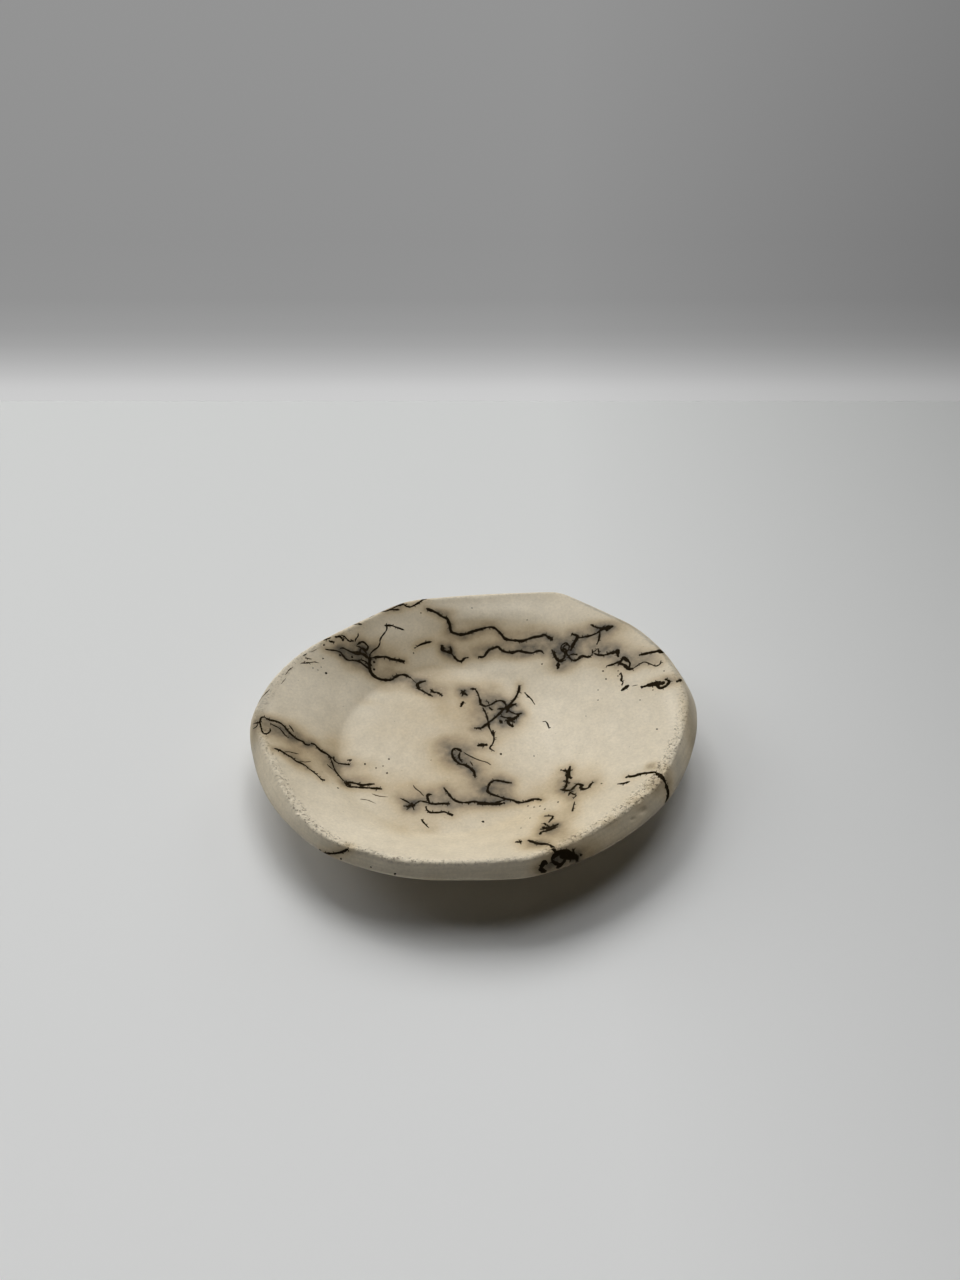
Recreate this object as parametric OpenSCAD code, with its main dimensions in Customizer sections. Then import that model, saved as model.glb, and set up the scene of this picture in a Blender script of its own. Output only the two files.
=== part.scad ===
// Shallow hand-built dish: an oval slab of fired clay, bent up round a round well. Straight strokes of a
// knife bevel its rim, and it stands on a luted foot ring.
// Millimetres, +Z up, origin under the middle of the oval.

/* [Slab] */
// Longer axis of the oval slab, before the knife trims it
slab_l = 156; // [130:1:200]
// Shorter axis of the oval slab, before the knife trims it
slab_w = 134; // [118:1:170]
// Thickness of the slab
slab_t = 6.5; // [4:0.25:9]
// Angle of the longer axis from +X
slab_turn = 13; // [0:1:30]

/* [Lip] */
// Usual reach of the knife's bevel, from the lower edge in to the upper edge
bevel_w = 3; // [1:0.1:3.6]
// Reach of the wear on the upper edge
edge_r = 1.2; // [0.4:0.1:2]
// Reach of the wear on the lower edge
arris_r = 1.6; // [0.4:0.1:2.4]

/* [Bowl] */
// Depth of the bowl, from the rim down to the edge of the well
bowl_h = 14; // [8:0.5:24]
// Diameter of the well
well_d = 74; // [50:1:80]
// Distance of the well's middle from the oval's, towards -X
well_left = 10; // [0:0.5:14]
// Distance of the well's middle from the oval's, towards -Y
well_front = 5; // [0:0.5:8]
// Dip of the middle of the floor below the edge of the well
floor_dip = 0.8; // [0:0.1:2]
// Softness of the crease where the wall leaves the floor
crease_soft = 0.6; // [0.4:0.1:3]

/* [Foot] */
// Distance that the outside of the foot ring lies in from the edge of the well
foot_in = 1; // [0:0.5:6]
// Width of the foot ring where it joins the slab
foot_w = 8.5; // [7:0.5:12]
// Height of the foot ring
foot_h = 3.5; // [3:0.25:8]
// Radius of the smoothed slip where the ring joins the slab
lute_r = 1.2; // [0.4:0.1:1.6]
// Distance that each side of the ring leans in on its way down
foot_lean = 0.5; // [0:0.1:0.8]
// Radius worn on the ring's lower edges
foot_round = 0.8; // [0.2:0.1:1]

/* [Hidden] */

ivory = [0.86, 0.82, 0.74];
raw_clay = [0.80, 0.74, 0.64];

// The knife's strokes meet at these corners: the compass angle in degrees, anticlockwise from +X, then shares
// of the bevel's usual reach that are trimmed off the oval and bevelled there, and the share of the shorter
// stroke that the corner's rounding takes.
corner_shares = [
    [3.5, 0.45, 1.15, 0.30],
    [20, 0.90, 0.75, 0.40],
    [35, 0.70, 0.95, 0.30],
    [63, 0.50, 0.30, 0.12],
    [116, 1.30, 0.50, 0.15],
    [155.5, 0.90, 0.65, 0.40],
    [169, 0.15, 1.00, 0.40],
    [183, 0.10, 0.55, 0.40],
    [195, 0.70, 1.60, 0.40],
    [219, 0.75, 0.95, 0.35],
    [231, 0.45, 0.70, 0.40],
    [251.5, 0.75, 0.80, 0.40],
    [268, 0.95, 1.10, 0.45],
    [284.5, 0.40, 1.15, 0.30],
    [299.5, 0.50, 1.65, 0.40],
    [314.5, 0.65, 1.80, 0.40],
    [329, 0.60, 1.50, 0.35],
    [346, 0.80, 1.65, 0.40],
];
corners = len(corner_shares);
turn = 360;
// The trims alone, by compass angle, with the last and first corners repeated a turn off.
trim_shares = [
    for (i = [-1:corners])
        [shares(i)[0] + turn * floor(i / corners), shares(i)[1]]
];
// Steps of the round at each corner, and the usual gap between steps along a straight cut, as a share of the
// slab's length.
round_steps = 3;
gap_share = 0.045;

// Places of the rings of points, as shares of their runs: across the floor, up the wall, round a worn edge
// and back along the underside.
floor_shares = [0.2, 0.4, 0.6, 0.76, 0.88, 0.95];
wall_shares = [0, 0.05, 0.1, 0.17, 0.27, 0.4, 0.55, 0.7, 0.84];
wear_shares = [0, 0.33, 0.67, 1];
under_shares = [0.84, 0.7, 0.55, 0.4, 0.27, 0.15, 0.06, 0];
// The wall leaves the well this share steeper than a straight one, and meets the rim as much flatter.
bow_share = 0.16;
// The cut face is this share of the slab's thickness high, because the slab slopes there.
lip_share = 0.85;
// The wall heads for a smooth oval this share of the bevel's usual reach inside the slab's, and bends to the
// strokes' corners with this power of the way up.
smooth_share = 1.7;
corner_fade = 3;
// The wear on the upper edge takes this share of the wall at most.
wear_limit_share = 0.1;
// The slab's bend lies outside the well by this share of its thickness on the underside.
bend_share = 0.25;
ring_facets = 128;
round_turns = [0:22.5:90];

well_r = well_d / 2;
foot_r = well_r - foot_in;
floor_h = foot_h + slab_t;
rim_h = floor_h + bowl_h;
lip_h = lip_share * slab_t;
base_r = well_r + bend_share * slab_t;
well_middle = [-well_left, -well_front];

function mix(a, b, s) = a + (b - a) * s;
function unit(v) = v / norm(v);
function at_height(p, h) = [p.x, p.y, h];
// A curve that leaves p for a at share 0 and for b at share 1.
function rounded(a, p, b, s) = mix(mix(a, p, s), mix(p, b, s), s);

// The oval's radius at a compass angle, and the lower edge's, which is trimmed steadily from corner to corner.
function oval_r(a) =
    1 / norm([cos(a - slab_turn) / (slab_l / 2), sin(a - slab_turn) / (slab_w / 2)]);
function trimmed_r(a) = oval_r(a) - lookup((a + turn) % turn, trim_shares) * bevel_w;
// The corners of the upper edge.
function shares(i) = corner_shares[(i + corners) % corners];
function corner(i) =
    let (s = shares(i))
    [cos(s[0]), sin(s[0])] * (oval_r(s[0]) - (s[1] + s[2]) * bevel_w);
function stroke(i) = norm(corner(i + 1) - corner(i));
function cutback(i) = shares(i)[3] * min(stroke(i - 1), stroke(i));
function round_start(i) = corner(i) + unit(corner(i - 1) - corner(i)) * cutback(i);
function round_end(i) = corner(i) + unit(corner(i + 1) - corner(i)) * cutback(i);
function cut_steps(i) = ceil(norm(round_start(i + 1) - round_end(i)) / (gap_share * slab_l));

// Places along the upper edge: round each corner, then along the straight cut to the next.
rim_places = [
    for (i = [0:corners - 1])
        each concat(
            [
                for (k = [0:round_steps])
                    rounded(round_start(i), corner(i), round_end(i), k / round_steps)
            ],
            [
                for (k = [1:1:cut_steps(i) - 1])
                    mix(round_end(i), round_start(i + 1), k / cut_steps(i))
            ]
        )
];

function soft_max(a, b, soft) = (a + b + sqrt(pow(a - b, 2) + pow(soft, 2))) / 2;
// Rise of a wall at a share of its run; below the run it goes on straight down.
function bowed(s) = s + bow_share * s * (s < 0 ? 1 : 1 - s);
// Height of the upper face, from a share of the well's radius and a share of the wall's run.
function upper_h(well_share, wall_share) =
    soft_max(
        floor_h - floor_dip * (1 - pow(well_share, 2)),
        floor_h + bowl_h * bowed(wall_share),
        crease_soft
    );

// The curve that wear leaves at p, between the faces that run to a and to b.
function worn(a, p, b, reach, s) =
    rounded(p + unit(a - p) * reach, p, p + unit(b - p) * reach, s);

// The points of one column: out across the floor, up the wall, over the lip and back to the base.
function column_points(rim) =
    let (
        away = unit(rim - well_middle),
        crease = well_middle + away * well_r,
        run = norm(rim - crease),
        angle = atan2(rim.y, rim.x),
        smooth = unit(rim) * (oval_r(angle) - smooth_share * bevel_w),
        top = at_height(rim, rim_h),
        low = at_height(unit(rim) * trimmed_r(angle), rim_h - lip_h),
        walls = [
            for (s = wall_shares)
                at_height(mix(crease, smooth, s) + (rim - smooth) * pow(s, corner_fade), upper_h(1, s))
        ],
        wall = walls[len(walls) - 1],
        base = at_height(well_middle + away * base_r, foot_h),
        first = under_shares[0],
        under = at_height(mix(base, low, first), mix(foot_h, low.z, bowed(first)))
    )
    concat(
        [
            for (s = floor_shares)
                at_height(well_middle + away * well_r * s, upper_h(s, (s - 1) * well_r / run))
        ],
        walls,
        [for (s = wear_shares) worn(wall, top, low, min(edge_r, run * wear_limit_share), s)],
        [for (s = wear_shares) worn(top, low, under, arris_r, s)],
        [for (s = under_shares) at_height(mix(base, low, s), mix(foot_h, low.z, bowed(s)))]
    );

module dish_body() {
    columns = [for (rim = rim_places) column_points(rim)];
    n = len(columns);
    m = len(columns[0]);
    middle = at_height(well_middle, upper_h(0, -1));
    points = concat([middle], [for (column = columns) each column]);
    // Index of point j of column i; the middle of the floor is point 0.
    function index(i, j) = 1 + (i % n) * m + j;
    faces = concat(
        [for (i = [0:n - 1]) [0, index(i + 1, 0), index(i, 0)]],
        [
            for (i = [0:n - 1], j = [0:m - 2])
                each [
                    [index(i, j), index(i + 1, j + 1), index(i, j + 1)],
                    [index(i, j), index(i + 1, j), index(i + 1, j + 1)],
                ]
        ],
        [[for (i = [0:n - 1]) index(i, m - 1)]]
    );
    color(ivory)
        polyhedron(points, faces);
}

module foot_ring() {
    // One side of the ring, from the slab down: distance in from the side, and height.
    side = concat(
        [for (a = round_turns) [lute_r * sin(a), foot_h - lute_r * (1 - cos(a))]],
        [
            for (a = round_turns)
                [lute_r + foot_lean + foot_round * (1 - cos(a)), foot_round * (1 - sin(a))]
        ]
    );
    last = len(side) - 1;
    color(raw_clay)
        translate([well_middle.x, well_middle.y, 0])
            rotate_extrude($fn = ring_facets)
                polygon(concat(
                    [for (p = side) [foot_r - p.x, p.y]],
                    [for (i = [0:last]) [foot_r - foot_w + side[last - i].x, side[last - i].y]]
                ));
}

dish_body();
foot_ring();
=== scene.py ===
import math
import random

import bmesh
import bpy
import numpy as np
from mathutils import Euler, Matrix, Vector, noise
from mathutils.bvhtree import BVHTree


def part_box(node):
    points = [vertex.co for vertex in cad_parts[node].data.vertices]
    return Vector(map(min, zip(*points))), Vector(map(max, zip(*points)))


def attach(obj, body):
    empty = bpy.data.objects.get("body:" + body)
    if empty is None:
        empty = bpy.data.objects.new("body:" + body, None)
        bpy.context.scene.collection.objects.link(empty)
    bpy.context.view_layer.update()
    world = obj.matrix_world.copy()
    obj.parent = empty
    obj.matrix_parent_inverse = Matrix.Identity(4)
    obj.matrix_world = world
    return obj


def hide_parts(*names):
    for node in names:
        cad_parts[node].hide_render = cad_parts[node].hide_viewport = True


# Looks of a shallow hand-built dish: burnished ivory clay that was marked with burning hair, on a luted
# foot. Metres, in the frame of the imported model. MM turns the millimetres below into metres.

MM = 0.001
UP = Vector((0, 0, 1))
# Rays at the dish start this far off.
FAR = 0.2

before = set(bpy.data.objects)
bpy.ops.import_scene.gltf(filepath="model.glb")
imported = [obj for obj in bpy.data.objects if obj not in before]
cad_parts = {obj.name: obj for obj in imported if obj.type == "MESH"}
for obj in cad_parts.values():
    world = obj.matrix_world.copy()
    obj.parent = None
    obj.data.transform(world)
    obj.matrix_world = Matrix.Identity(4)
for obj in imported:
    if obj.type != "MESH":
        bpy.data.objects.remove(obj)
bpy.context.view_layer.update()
body_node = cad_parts["dish_body"]
foot_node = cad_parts["foot_ring"]
body_low, body_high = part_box("dish_body")
foot_low, foot_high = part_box("foot_ring")

# The well's middle lies over the foot ring's.
well_x = (foot_low.x + foot_high.x) / 2
well_y = (foot_low.y + foot_high.y) / 2
foot_radius = (foot_high.x - foot_low.x) / 2
base_height = body_low.z
rim_height = body_high.z


# Camera

# The photograph's frame in pixels, and the lens that fits it: the focal length in the same pixels.
PHOTO_W = 960
PHOTO_H = 1280
FOCAL = 960
SENSOR = 36
NEAREST_SEEN = 0.01
CAMERA_AT = Vector((1.0, -221.7, 260.5)) * MM
CAMERA_PITCH = math.radians(-42.88)
camera_turn = Euler((math.pi / 2 + CAMERA_PITCH, 0, 0))


def add_object(name, data):
    thing = bpy.data.objects.new(name, data)
    bpy.context.scene.collection.objects.link(thing)
    return thing


def add_mesh(name, points, faces):
    mesh = bpy.data.meshes.new(name)
    mesh.from_pydata(points, [], faces)
    mesh.polygons.foreach_set("use_smooth", [True] * len(faces))
    mesh.update()
    return add_object(name, mesh)


def add_values(piece, name, values):
    """Gives a piece's points a value each, for its material to read."""
    piece.data.attributes.new(name, "FLOAT", "POINT").data.foreach_set("value", values)


def make_camera():
    lens = bpy.data.cameras.new("camera")
    lens.sensor_width = SENSOR
    lens.lens = SENSOR * FOCAL / PHOTO_H
    lens.clip_start = NEAREST_SEEN
    camera = add_object("camera", lens)
    camera.location = CAMERA_AT
    camera.rotation_euler = camera_turn
    bpy.context.scene.camera = camera


def sight(px, py):
    """The direction in which the camera sees a pixel of the photograph."""
    ahead = Vector(((px - PHOTO_W / 2) / FOCAL, (PHOTO_H / 2 - py) / FOCAL, -1))
    ahead.rotate(camera_turn)
    return ahead.normalized()


# Hair marks, read off the photograph. Each has a width in millimetres, how black it is and how much
# it smoked the clay beside it, as shares, and then the pixels that it runs through: across, down, and so on.

HAIRS = [
    # By the left rim.
    (0.45, 0.9, 0.3, 253, 724, 256, 723, 258, 723, 261, 720),
    (0.4, 0.8, 0.2, 253, 729, 256, 727, 258, 724),
    (0.5, 0.9, 0.15, 267, 719, 264, 717, 261, 718, 260, 722, 261, 727, 262, 731, 264, 733.5, 267, 733.5,
     270, 731.5, 270, 728),
    (0.75, 1, 0.9, 267, 719, 270, 720, 275, 721, 280, 723, 284, 726, 288, 731, 292, 735, 297, 739,
     300, 740.5, 303, 741.5, 305, 744, 308, 745, 310, 744.5),
    (0.5, 0.9, 0.6, 270, 723, 273, 725, 278, 727.5, 282, 731, 285, 735, 288, 737.5),
    (0.45, 0.8, 0.4, 289, 725, 292, 729, 294, 732),
    (0.75, 1, 0.8, 312, 743.5, 315, 744.5, 320, 750, 327, 754, 330, 757, 333, 758),
    (0.55, 1, 0.5, 334, 757, 334, 760, 338, 763, 343, 764, 349, 765),
    (0.7, 1, 0.3, 348, 760, 352, 760),
    (0.5, 1, 0.6, 330, 758, 332, 762, 334, 768, 337, 773, 342, 779, 346, 782),
    (0.4, 0.7, 0.4, 327, 764, 331, 768, 334, 770),
    (0.75, 1, 0.5, 344, 783, 350, 782.5, 356, 783.5, 362, 785, 368, 784.5, 374, 784),
    (0.75, 1, 0.4, 345, 784, 348, 786.5, 355, 787, 362, 787.5, 370, 788, 376, 788.5, 381, 789),
    # At the lower left.
    (0.7, 1, 0.7, 274, 748.5, 279, 750, 283, 752, 287, 755, 291, 757, 296, 761, 301, 763, 306, 766,
     308, 768),
    (0.5, 1, 0.3, 308, 768, 312, 771, 316, 774, 320, 778, 323, 779.5),
    (0.35, 0.7, 0.3, 285, 751.5, 290, 752, 294, 753, 299, 754),
    (0.3, 0.5, 0.3, 300, 761, 305, 762, 311, 761.5),
    (0.25, 0.4, 0, 360, 799, 367, 800, 376, 803.5),
    (0.25, 0.35, 0, 372, 794, 379, 796, 388, 797),
    # On the far wall at the left.
    (0.5, 1, 0.4, 381, 612, 386, 611, 391, 609, 395, 607, 400, 604.5, 403, 603.5),
    (0.6, 1, 0.4, 403, 603.5, 406, 606, 410, 607, 414, 605.5, 419, 602.5, 423, 599.5, 426, 598.5),
    (0.6, 0.9, 0.4, 388, 610, 393, 609.5, 400, 610),
    (0.7, 1, 0.2, 354, 624.5, 358, 624, 362, 624.5),
    (0.65, 1, 0.2, 324, 640, 328, 638.5, 331, 637.5),
    (0.75, 1, 0.3, 329, 640, 330, 641.5, 334, 642),
    (0.8, 1, 0.4, 336, 637, 340, 636.5, 343, 640),
    (0.6, 0.9, 0.4, 341, 635, 345, 637, 349, 641, 353, 641),
    (0.4, 0.8, 0.2, 358, 633, 358, 636, 356, 639, 355, 642),
    (0.6, 0.85, 0.7, 325, 649, 330, 650, 335, 650.5, 340, 652, 344, 657, 348, 660, 355, 660.5, 360, 662,
     364, 665, 369, 669),
    (0.5, 0.75, 0.9, 340, 648.5, 343, 648, 347, 650, 352, 652, 358, 652, 363, 655),
    (0.6, 0.75, 1, 357, 645, 361, 642, 365, 643, 368, 647, 366, 650, 362, 648, 360, 652, 365, 656,
     369, 659),
    (0.5, 0.9, 0.8, 356, 661, 361, 660, 366, 662, 369, 666),
    (0.5, 0.85, 0.05, 370, 654, 374, 650, 378, 647, 380, 643, 380, 640, 383, 635, 386, 631, 387, 627,
     385, 625.5),
    (0.6, 1, 0.1, 385, 625.5, 391, 625.5, 396, 627, 400, 628.5, 404, 630),
    (0.7, 1, 0.7, 371, 658, 378, 657, 386, 657, 391, 659, 397, 660, 404, 661),
    (0.85, 1, 0.8, 370, 655, 369.5, 662, 370, 670, 374, 676, 380, 679, 387, 680, 392, 679.5, 395, 677,
     400, 675, 405, 675, 410, 677.5),
    (0.5, 0.9, 0.1, 301, 663, 305, 663, 311, 662.5),
    (0.3, 0.6, 0.1, 309, 663, 314, 662, 319, 663),
    (0.45, 0.9, 0.1, 306, 658, 311, 659),
    (0.25, 0.7, 0.2, 410, 677.5, 413, 680, 417, 684),
    (0.3, 0.7, 0, 303, 656, 307, 653.5),
    (0.25, 0.4, 0, 285, 675, 289, 670, 293, 667),
    (0.25, 0.45, 0, 258, 704, 263, 696, 270, 689),
    # Along the far wall.
    (0.85, 1, 0.9, 426, 608.5, 430, 610, 436, 612.5, 442, 616.5, 447, 618.5, 449, 622, 450, 627, 451, 631,
     455, 633.5, 461, 634.5, 466, 634, 471, 632, 478, 630, 485, 628, 491, 627, 496, 629, 501, 634,
     505, 638.5, 510, 640, 516, 640.5, 522, 641, 528, 639, 535, 637, 541, 636, 544, 634.5, 548, 637,
     552, 640),
    (0.6, 1, 0.4, 415, 648, 420, 645, 425, 643, 432, 641.5),
    (0.8, 1, 1, 442, 646, 443, 650, 447, 652, 451, 652, 450, 646),
    (0.6, 1, 0.6, 452, 654, 455, 658, 459, 661, 462, 661, 464, 658.5, 468, 657.5),
    (0.75, 1, 0.7, 478, 656.5, 483, 657, 486, 654, 489, 650, 494, 648, 498, 647, 501, 649.5, 506, 652,
     513, 652.5, 518, 651, 524, 652, 532, 653, 537, 651, 541, 651, 544, 654),
    (0.8, 1, 0.7, 425, 681, 420, 682.5, 417, 685, 419, 689, 423, 691, 428, 694, 432, 696),
    (0.6, 0.9, 0.2, 430, 689, 434, 692, 438, 692.5, 442, 695.5),
    # In the well.
    (0.6, 1, 0.7, 461, 692, 464, 694, 466, 695),
    (0.8, 1, 0.2, 463, 702, 461, 706),
    (0.65, 1, 0.7, 471, 689, 475, 689.5, 478, 694, 480, 700, 481, 704, 485, 706, 490, 705, 495, 702,
     500, 700.5, 504, 702, 506, 706, 504, 709, 499, 708.5),
    (0.75, 1, 0.8, 475, 728, 481, 728, 486, 724.5, 492, 720, 499, 714, 504, 709, 508, 706, 512, 702,
     516, 697, 519, 690, 519.5, 686),
    (0.55, 1, 0.3, 483, 708, 486, 714, 488, 721, 489, 727, 492, 733, 494, 738, 493, 743, 490, 748,
     494, 751),
    (0.6, 1, 0.8, 516, 705, 510, 706, 508, 709, 511, 712, 516, 714, 522, 713),
    (0.6, 1, 0.8, 500, 716, 505, 717.5, 509, 718, 513, 719, 517, 716, 521, 713.5),
    (1.1, 1, 0.5, 507, 720, 509, 724, 512, 726),
    (0.65, 0.9, 0.1, 525, 693, 529, 697, 533, 701),
    (0.3, 0.6, 0, 532, 700, 535, 705),
    (0.45, 0.9, 0, 545, 721, 547, 723, 549, 728),
    (1.2, 1, 0.2, 477, 746, 481, 745, 486, 745),
    # Across the near side.
    (0.8, 1, 1, 462, 752, 458, 749, 454, 749, 452, 752, 453, 757, 456, 761, 460, 764, 465, 765, 470, 768,
     474, 772, 475, 777),
    (0.6, 0.9, 0.8, 460, 752, 459, 757, 462, 762),
    (0.35, 0.8, 0.2, 463, 752, 468, 755, 474, 758, 480, 760.5, 486, 762, 491, 765),
    (0.75, 1, 0.8, 511, 783, 505, 782, 500, 781, 495, 780.5, 490, 783, 488, 788, 488, 792, 494, 795,
     500, 797, 506, 799, 512, 800, 517, 802, 522, 802.5, 528, 801, 535, 799, 541, 800),
    (0.65, 1, 0.6, 444, 788, 448, 793, 452, 798, 456, 801, 462, 802.5, 468, 802.5, 474, 801.5, 480, 802.5,
     486, 803, 492, 803.5, 498, 802, 504, 800),
    (0.9, 1, 0.5, 478, 804, 485, 803.5, 492, 804, 499, 804, 504, 803),
    (0.45, 0.9, 0.7, 400, 798, 406, 801, 411, 804),
    (0.5, 1, 0.7, 404, 806, 410, 806, 416, 803.5),
    (0.4, 1, 0.5, 407, 809.5, 411, 806, 415, 805),
    (0.5, 1, 0.7, 412, 803, 412.5, 806, 414, 809.5),
    (0.6, 1, 0.4, 409, 805, 414, 806),
    (0.65, 1, 0.6, 416, 803, 420, 801, 426, 802, 431, 803.5, 437, 804, 443, 803.5, 449, 803.5),
    (0.75, 1, 0.6, 432, 794.5, 428, 794.5, 427.5, 798, 430, 803),
    (0.65, 1, 0.3, 426, 807, 427, 810, 431, 812.5, 438, 812.5, 445, 812, 452, 814.5),
    (0.35, 0.7, 0.4, 413, 785, 415, 788, 420, 792, 424, 796),
    (0.45, 0.9, 0, 421, 819, 425, 824, 429, 828),
    (0.7, 1, 0.3, 544, 816, 549, 816, 553, 816.5, 549, 822),
    (0.8, 1, 0.6, 541, 829, 547, 828, 553, 826, 558, 824),
    (0.9, 1, 0.5, 539, 834, 542, 832, 549, 830, 557, 827),
    (1.1, 1, 0.3, 517, 842, 522, 842),
    (0.5, 0.9, 0.1, 519, 840, 521, 844),
    (1, 1, 0.5, 529, 840.5, 533, 842, 538, 843.5, 545, 844, 549, 844.5, 552, 846.5, 554.5, 850, 556, 854),
    (1, 1, 0.4, 534, 843.5, 541, 844),
    # At the right, over the rim.
    (0.7, 1, 0.3, 561, 770, 567, 771, 572, 770),
    (0.9, 1, 0.6, 570, 767, 568, 774, 567, 780, 566, 786, 564, 789),
    (0.8, 1, 0.5, 560, 789.5, 566, 790.5, 571, 790, 575, 786, 579, 784, 583, 785.5, 580, 787, 583, 789,
     588, 788, 591, 784, 594, 782),
    (0.5, 0.9, 0.2, 570, 792, 573, 794, 576, 795.5, 573, 799),
    (0.45, 0.9, 0.1, 574.5, 802, 573.5, 806, 572, 811),
    (0.65, 1, 0.1, 617, 784, 623, 783.5, 630, 781.5),
    (0.9, 1, 0.2, 627, 777, 634, 776, 640, 774, 647, 773, 654, 772.5, 658, 774, 662.5, 777, 665, 781,
     666.5, 787, 668, 791, 668, 796, 666.5, 800, 665, 803),
    (1.2, 1, 0, 658, 774.5, 663, 778, 666, 785, 667.5, 791),
    # On the far wall at the right.
    (0.7, 1, 0.6, 552, 650, 554, 655, 557, 660, 560, 661.5, 565, 660),
    (1.1, 1, 0.3, 558, 662, 558, 668),
    (1, 1, 0.6, 572, 634, 577, 636, 576, 640, 573, 645, 571, 650),
    (0.65, 1, 0.4, 577, 638, 584, 637, 591, 635.5, 597, 633, 601, 630, 605, 629, 611, 626.5),
    (0.6, 1, 0.4, 591, 625, 595, 627, 600, 628, 605, 629),
    (0.6, 1, 0.2, 600, 632, 599, 639, 597, 644),
    (0.7, 1, 0.6, 568, 656, 571, 659, 574, 660.5, 578, 659, 582, 656, 588, 657, 592, 655),
    (0.5, 0.9, 0.5, 570, 655, 577, 654),
    (0.4, 0.9, 0.2, 592, 653, 595, 651, 597, 649),
    (0.9, 1, 0.4, 594, 653, 598, 655, 604, 655, 610, 653.5, 615, 652, 618, 650, 618, 656),
    (0.8, 1, 0.4, 606, 666, 611, 665, 616, 663, 621, 661, 624, 657, 627, 660, 630, 663),
    (1, 1, 0.4, 618, 663, 624, 665, 629, 669, 634, 668),
    (0.45, 0.9, 0.2, 634, 668, 640, 664, 645, 662, 650, 664, 656, 666, 660, 664, 661, 661),
    (0.95, 1, 0.1, 640, 655, 646, 653.5, 653, 652, 660, 651, 664, 652),
    (0.6, 1, 0.1, 621, 673, 622, 677, 621, 680, 623, 682, 622, 685),
    (1, 1, 0, 621, 691, 625, 688, 629, 685),
    (1.1, 1, 0.1, 642, 687, 648, 685.5, 654, 683, 660, 682),
    (0.9, 1, 0.2, 652, 684, 657, 686, 660, 688, 664, 687, 668, 684, 669, 681, 666, 679.5),
    (1.1, 1, 0, 677, 681.5, 681, 680),
    # Short strokes: clots, barbs and crossings that thicken the marks.
    (0.8, 1, 0.3, 461, 690, 464, 693, 467, 695), (0.6, 1, 0.2, 462, 696, 464, 692, 465, 690),
    (0.9, 1, 0.3, 471, 689, 475, 689), (0.5, 0.9, 0.3, 485, 701, 488, 702, 489, 705),
    (0.5, 0.9, 0.3, 489, 707, 492, 710), (0.6, 1, 0.4, 498, 709, 503, 708),
    (0.8, 1, 0.2, 509, 708, 512, 705, 516, 704), (0.9, 1, 0.4, 506, 706, 508, 710, 506, 713),
    (0.7, 1, 0.3, 500, 720, 502, 723), (1.2, 1, 0.4, 509, 718, 513, 719, 518, 716),
    (0.8, 1, 0.3, 505, 720, 511, 721, 514, 722), (0.7, 1, 0.1, 519, 686, 519.5, 692),
    (0.4, 0.9, 0, 517, 691, 521, 693), (0.8, 1, 0.1, 475, 728, 481, 728), (0.8, 1, 0, 493, 731, 494, 736),
    (0.6, 0.9, 0.1, 481, 743, 484, 747), (0.4, 0.7, 0.2, 470, 761, 473, 766),
    (1, 1, 0.1, 474, 772, 475, 777), (0.9, 1, 0.2, 566, 775, 571, 778), (0.8, 1, 0.2, 564, 781, 569, 783),
    (0.9, 1, 0.2, 568, 771, 569, 776, 566, 779), (0.6, 1, 0.1, 577, 784, 581, 786, 582, 790),
    (0.7, 1, 0.2, 568, 796, 571, 792, 574, 792), (0.7, 1, 0, 573.5, 807, 572.5, 811),
    (0.9, 1, 0.1, 627, 777, 635, 776), (0.8, 1, 0.2, 544, 823, 546, 825),
    (0.8, 1, 0.3, 543, 827, 550, 829, 557, 825), (0.6, 1, 0.2, 547, 825, 553, 829),
    (1, 1, 0.1, 539, 834, 542, 834), (1.4, 1, 0.5, 601, 629, 606, 628, 612, 626.5),
    (1, 1, 0.4, 603, 626, 607, 630), (0.9, 1, 0.2, 591, 624.5, 594, 626), (0.6, 1, 0.3, 592, 649, 593, 654),
    (0.6, 1, 0.3, 598, 648, 599, 653), (0.5, 0.9, 0.2, 607, 652, 608, 655),
    (1.1, 1, 0.2, 617, 650, 618, 656), (0.7, 1, 0.4, 624, 658, 627, 662), (0.8, 1, 0.2, 630, 664, 629, 668),
    (1.3, 1, 0.1, 651, 685.5, 657, 684.5, 663, 683), (0.3, 0.5, 0, 632, 686, 638, 685),
    (1, 1, 0.1, 658, 652, 664, 652), (0.5, 0.7, 0.8, 340, 652, 343, 655, 346, 659),
    (0.6, 0.75, 0.9, 352, 653, 358, 654, 364, 654, 369, 658),
    (0.6, 0.7, 0.8, 356, 646, 360, 647, 364, 650, 367, 654), (0.9, 1, 0.3, 398, 660.5, 405, 661.5),
    (0.8, 1, 0.2, 397, 606, 404, 604), (0.9, 1, 0.3, 447, 619, 450, 626), (1, 1, 0.4, 549, 637, 553, 640),
    (1.2, 1, 0.5, 442, 646, 443, 650, 447, 652), (0.9, 1, 0.4, 418, 685, 419, 689),
    (0.8, 1, 0.2, 431, 691, 436, 693), (0.7, 1, 0.2, 436, 692, 443, 696),
    (0.8, 1, 0.3, 444, 803.5, 449, 804), (0.9, 1, 0.2, 445, 812, 452, 815), (1, 1, 0.2, 374, 788, 381, 789),
    (1, 1, 0.3, 345, 783, 350, 785), (0.7, 1, 0.2, 345, 764, 350, 765), (0.7, 1, 0.1, 320, 779, 324, 780),
    (0.7, 1, 0.2, 274, 748.5, 280, 750),
    # Faint scratches by the rim.
    (0.2, 0.4, 0, 300, 664, 306, 661), (0.2, 0.4, 0, 281, 684, 286, 678), (0.2, 0.3, 0, 311, 652, 317, 649),
    (0.35, 0.6, 0, 604, 820, 607, 822), (0.2, 0.4, 0, 367, 616, 373, 613),
    # A hair that rolled up before it burnt, behind the long lines.
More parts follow.
